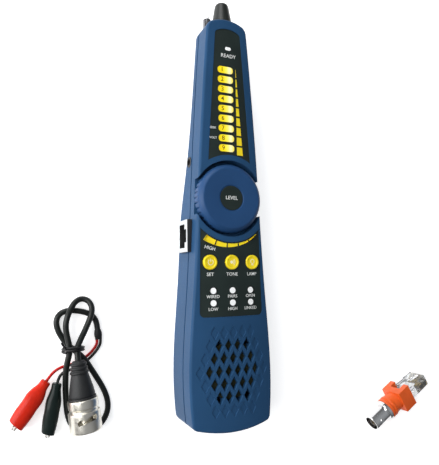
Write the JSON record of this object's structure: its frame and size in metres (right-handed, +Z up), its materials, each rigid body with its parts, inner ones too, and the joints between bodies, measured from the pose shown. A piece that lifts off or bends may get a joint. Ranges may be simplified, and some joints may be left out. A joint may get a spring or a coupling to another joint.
{
  "type": "tone probe kit",
  "caption": "Handheld inductive tone receiver with a sensitivity dial and level windows, a coax lead ending in crocodile clips, and a coax to modular plug adapter.",
  "frame": {"origin": "centre of the receiver's flat back, which lies on the table", "axes": "+Z up out of the receiver's front face, +Y from its tail to its probe tip, +X to the reader's right"},
  "size_m": [0.2465, 0.2423, 0.0296],
  "materials": {
    "case_blue": "satin moulded plastic",
    "panel_black": "satin printed film",
    "window_amber": "translucent amber windows",
    "lamp_clear": "frosted clear resin",
    "button_yellow": "satin moulded rubbery plastic",
    "tip_black": "satin moulded plastic",
    "board_green": "solder-masked board",
    "part_black": "moulded component bodies",
    "cloth_black": "fine woven cloth",
    "chip_white": "white insulating plastic",
    "steel": "plain steel",
    "ferrite": "sintered ferrite",
    "copper": "enamelled copper wire",
    "gold": "gold-plated contacts",
    "nickel": "bright nickel plate",
    "plug_clear": "clear polycarbonate",
    "adapter_orange": "satin moulded plastic",
    "jacket_black": "flexible jacket",
    "boot_black": "matte rubber boot",
    "jacket_red": "flexible jacket",
    "vinyl_red": "glossy vinyl sleeve",
    "vinyl_black": "glossy vinyl sleeve"
  },
  "bodies": {
    "receiver": {"front_shell": "case_blue", "rear_shell": "case_blue", "upper_overlay": "panel_black", "lower_overlay": "panel_black", "level_windows": "window_amber", "power_led": "lamp_clear", "status_leds": "lamp_clear", "case_screws": "steel", "main_board": "board_green", "level_leds": "chip_white", "potentiometer": "steel", "tactile_switches": "part_black", "speaker": "part_black", "speaker_cloth": "cloth_black", "battery": "steel", "battery_terminals": "gold", "battery_snap": "part_black", "rj45_jack": "steel", "rj45_contacts": "gold", "earphone_jack": "steel", "probe_tip": "tip_black", "pickup_rod": "ferrite", "pickup_coil": "copper", "torch_led": "lamp_clear", "torch_bezel": "tip_black"},
    "dial": {"sensitivity_dial": "case_blue", "dial_label": "panel_black", "dial_shaft": "steel"},
    "mode_button": {"button_mode": "button_yellow"},
    "test_button": {"button_test": "button_yellow"},
    "lamp_button": {"button_lamp": "button_yellow"},
    "door": {"battery_door": "case_blue"},
    "adapter": {"adapter_body": "adapter_orange", "rj45_plug": "plug_clear", "plug_contacts": "gold", "bnc_jack_barrel": "nickel", "bnc_jack_flange": "nickel", "bnc_jack_insulator": "chip_white", "bnc_jack_contact": "gold"},
    "latch": {"plug_latch": "plug_clear"},
    "lead": {"strain_relief_boot": "boot_black", "bnc_plug_body": "nickel", "bnc_plug_insulator": "chip_white", "bnc_plug_pin": "gold", "coax_cable": "jacket_black", "heat_shrink": "jacket_black", "twist_tie": "jacket_black", "red_wire": "jacket_red", "black_wire": "jacket_black", "red_clip_fixed_jaw": "nickel", "red_clip_pin": "nickel", "red_clip_spring": "nickel", "red_clip_sleeve": "vinyl_red", "black_clip_fixed_jaw": "nickel", "black_clip_pin": "nickel", "black_clip_spring": "nickel", "black_clip_sleeve": "vinyl_black"},
    "nut": {"coupling_nut": "nickel"},
    "red_jaw": {"red_clip_moving_jaw": "nickel"},
    "black_jaw": {"black_clip_moving_jaw": "nickel"}
  },
  "joints": [
    {"name": "dial_turn", "type": "hinge", "parent": "receiver", "child": "dial", "pos_m": [0, 0.0613, 0.025], "axis": [0, 0, 1], "range_deg": [-135, 135]},
    {"name": "mode_press", "type": "slide", "parent": "receiver", "child": "mode_button", "axis": [0, 0, -1], "range_m": [0, 0.0007], "stiffness_N_per_m": 400, "springref_m": -0.0005},
    {"name": "test_press", "type": "slide", "parent": "receiver", "child": "test_button", "axis": [0, 0, -1], "range_m": [0, 0.0007], "stiffness_N_per_m": 400, "springref_m": -0.0005},
    {"name": "lamp_press", "type": "slide", "parent": "receiver", "child": "lamp_button", "axis": [0, 0, -1], "range_m": [0, 0.0007], "stiffness_N_per_m": 400, "springref_m": -0.0005},
    {"name": "door_slide", "type": "slide", "parent": "receiver", "child": "door", "axis": [0, -1, 0], "range_m": [0, 0.055]},
    {"name": "adapter_lift", "type": "slide", "parent": "receiver", "child": "adapter", "axis": [0, 0, 1], "range_m": [0, 0.1]},
    {"name": "latch_press", "type": "hinge", "parent": "adapter", "child": "latch", "pos_m": [0.14104, -0.04358, 0.0073], "axis": [0, 0, 1], "range_deg": [0, 10], "stiffness_Nm_per_rad": 0.05, "springref_deg": -5.73},
    {"name": "lead_lift", "type": "slide", "parent": "receiver", "child": "lead", "axis": [0, 0, 1], "range_m": [0, 0.1]},
    {"name": "nut_turn", "type": "hinge", "parent": "lead", "child": "nut", "pos_m": [-0.0682, -0.04078, 0.00965], "axis": [0.12, -0.9913, 0.0541], "continuous": true},
    {"name": "red_clip_open", "type": "hinge", "parent": "lead", "child": "red_jaw", "pos_m": [-0.09152, -0.03471, 0.00325], "axis": [0, 0, 1], "range_deg": [0, 25], "stiffness_Nm_per_rad": 0.01, "springref_deg": -22.92, "deforming": ["red_clip_sleeve"]},
    {"name": "black_clip_open", "type": "hinge", "parent": "lead", "child": "black_jaw", "pos_m": [-0.08188, -0.03813, 0.00325], "axis": [0, 0, 1], "range_deg": [0, 25], "stiffness_Nm_per_rad": 0.01, "springref_deg": -22.92, "deforming": ["black_clip_sleeve"]}
  ]
}
